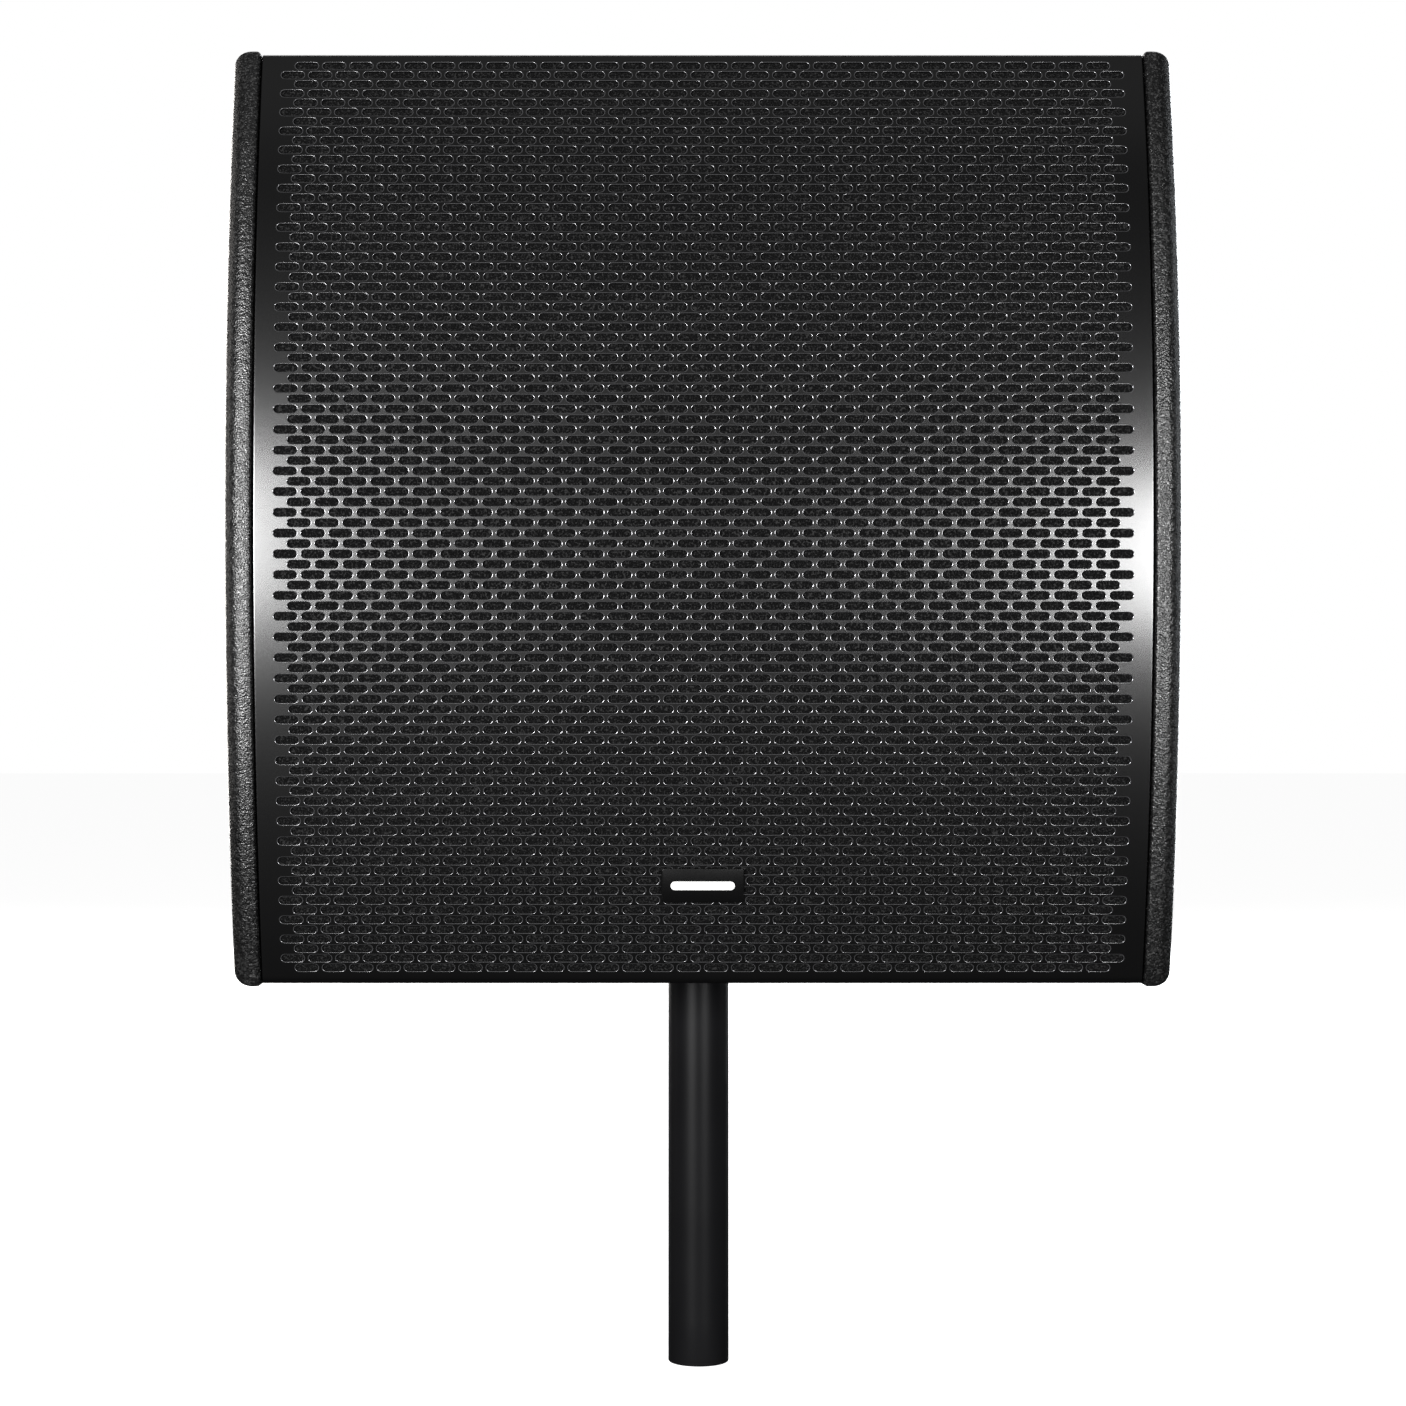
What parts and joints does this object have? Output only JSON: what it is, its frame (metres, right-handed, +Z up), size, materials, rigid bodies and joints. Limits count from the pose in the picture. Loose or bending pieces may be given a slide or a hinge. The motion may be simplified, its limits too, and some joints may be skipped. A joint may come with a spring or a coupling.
{
  "type": "loudspeaker",
  "caption": "Pole-mounted loudspeaker with a bowed slotted steel grille between two ply side panels, coaxial driver and ports.",
  "frame": {"origin": "centre of the pole tube's lower end face, at the mouth of the threaded hole in its foot", "axes": "+Z up along the pole, the grille faces -Y, +X to the right of someone who looks at the grille"},
  "size_m": [0.5, 0.3449, 0.728],
  "materials": {
    "pole_steel": "satin",
    "zinc_steel": "satin",
    "nylon": "matte",
    "coated_ply": "textured polyurea coat",
    "black_ply": "matt black stain",
    "bare_pine": "bare",
    "wadding": "fibrous",
    "grille_steel": "satin powder coat",
    "grille_foam": "open-cell foam",
    "black_screws": "black zinc",
    "badge_black": "satin",
    "badge_white": "satin",
    "cast_frame": "cast, painted",
    "gasket_foam": "matte",
    "cone_paper": "pressed pulp",
    "coil_wire": "wound wire",
    "surround_cloth": "doped cloth",
    "spider_cloth": "resin-treated cloth",
    "plate_steel": "zinc plated",
    "ferrite": "sintered",
    "terminal_plastic": "moulded",
    "horn_plastic": "moulded",
    "titanium_foil": "foil",
    "port_plastic": "moulded",
    "handle_steel": "textured powder coat",
    "grip_rubber": "matte",
    "socket_steel": "satin",
    "terminal_steel": "fine texture",
    "socket_plastic": "moulded",
    "tag_brass": "bright",
    "board_laminate": "laminate",
    "post_nylon": "moulded",
    "copper_wire": "enamelled wire",
    "film_can": "wrapped",
    "resistor_body": "cement",
    "wire_cover": "gloss",
    "foot_rubber": "matte"
  },
  "bodies": {
    "pole": {"pole_tube": "pole_steel", "pole_foot": "zinc_steel", "pole_cap": "nylon"},
    "cabinet": {"side_panel_left": "coated_ply", "side_panel_right": "coated_ply", "top_panel": "coated_ply", "bottom_panel": "coated_ply", "rear_panel": "coated_ply", "slant_panel": "coated_ply", "baffle": "black_ply", "baffle_battens": "bare_pine", "lining_slant": "wadding", "lining_sides": "wadding", "grille": "grille_steel", "grille_foam": "grille_foam", "grille_screws": "black_screws", "badge_plate": "badge_black", "badge_bar": "badge_white", "driver_frame": "cast_frame", "driver_gasket": "gasket_foam", "driver_bolts": "black_screws", "woofer_surround": "surround_cloth", "spider": "spider_cloth", "front_plate": "plate_steel", "magnet": "ferrite", "back_plate": "plate_steel", "driver_terminals": "terminal_plastic", "horn": "horn_plastic", "compression_driver": "cast_frame", "compression_cover": "cast_frame", "port_tube_left": "port_plastic", "port_tube_right": "port_plastic", "handle_pocket_left": "handle_steel", "handle_pocket_right": "handle_steel", "handle_grips": "grip_rubber", "handle_screws": "black_screws", "pole_socket": "socket_steel", "pole_socket_screws": "black_screws", "terminal_plate": "terminal_steel", "input_sockets": "socket_plastic", "input_tags": "tag_brass", "terminal_screws": "black_screws", "crossover_board": "board_laminate", "board_posts": "post_nylon", "inductors": "copper_wire", "capacitors": "film_can", "resistors": "resistor_body", "input_wires": "wire_cover", "driver_wires": "wire_cover", "rubber_feet": "foot_rubber", "foot_screws": "zinc_steel"},
    "woofer": {"woofer_cone": "cone_paper", "voice_coil": "coil_wire"},
    "diaphragm": {"horn_diaphragm": "titanium_foil"}
  },
  "joints": [
    {"name": "cabinet_swivel", "type": "hinge", "parent": "pole", "child": "cabinet", "pos_m": [0, 0, 0.275], "axis": [0, 0, 1], "continuous": true},
    {"name": "woofer_travel", "type": "slide", "parent": "cabinet", "child": "woofer", "axis": [0, -1, 0], "range_m": [-0.006, 0.006], "stiffness_N_per_m": 6000, "deforming": ["woofer_surround", "spider"]},
    {"name": "diaphragm_travel", "type": "slide", "parent": "cabinet", "child": "diaphragm", "axis": [0, -1, 0], "range_m": [-0.0004, 0.0004], "stiffness_N_per_m": 5000}
  ]
}
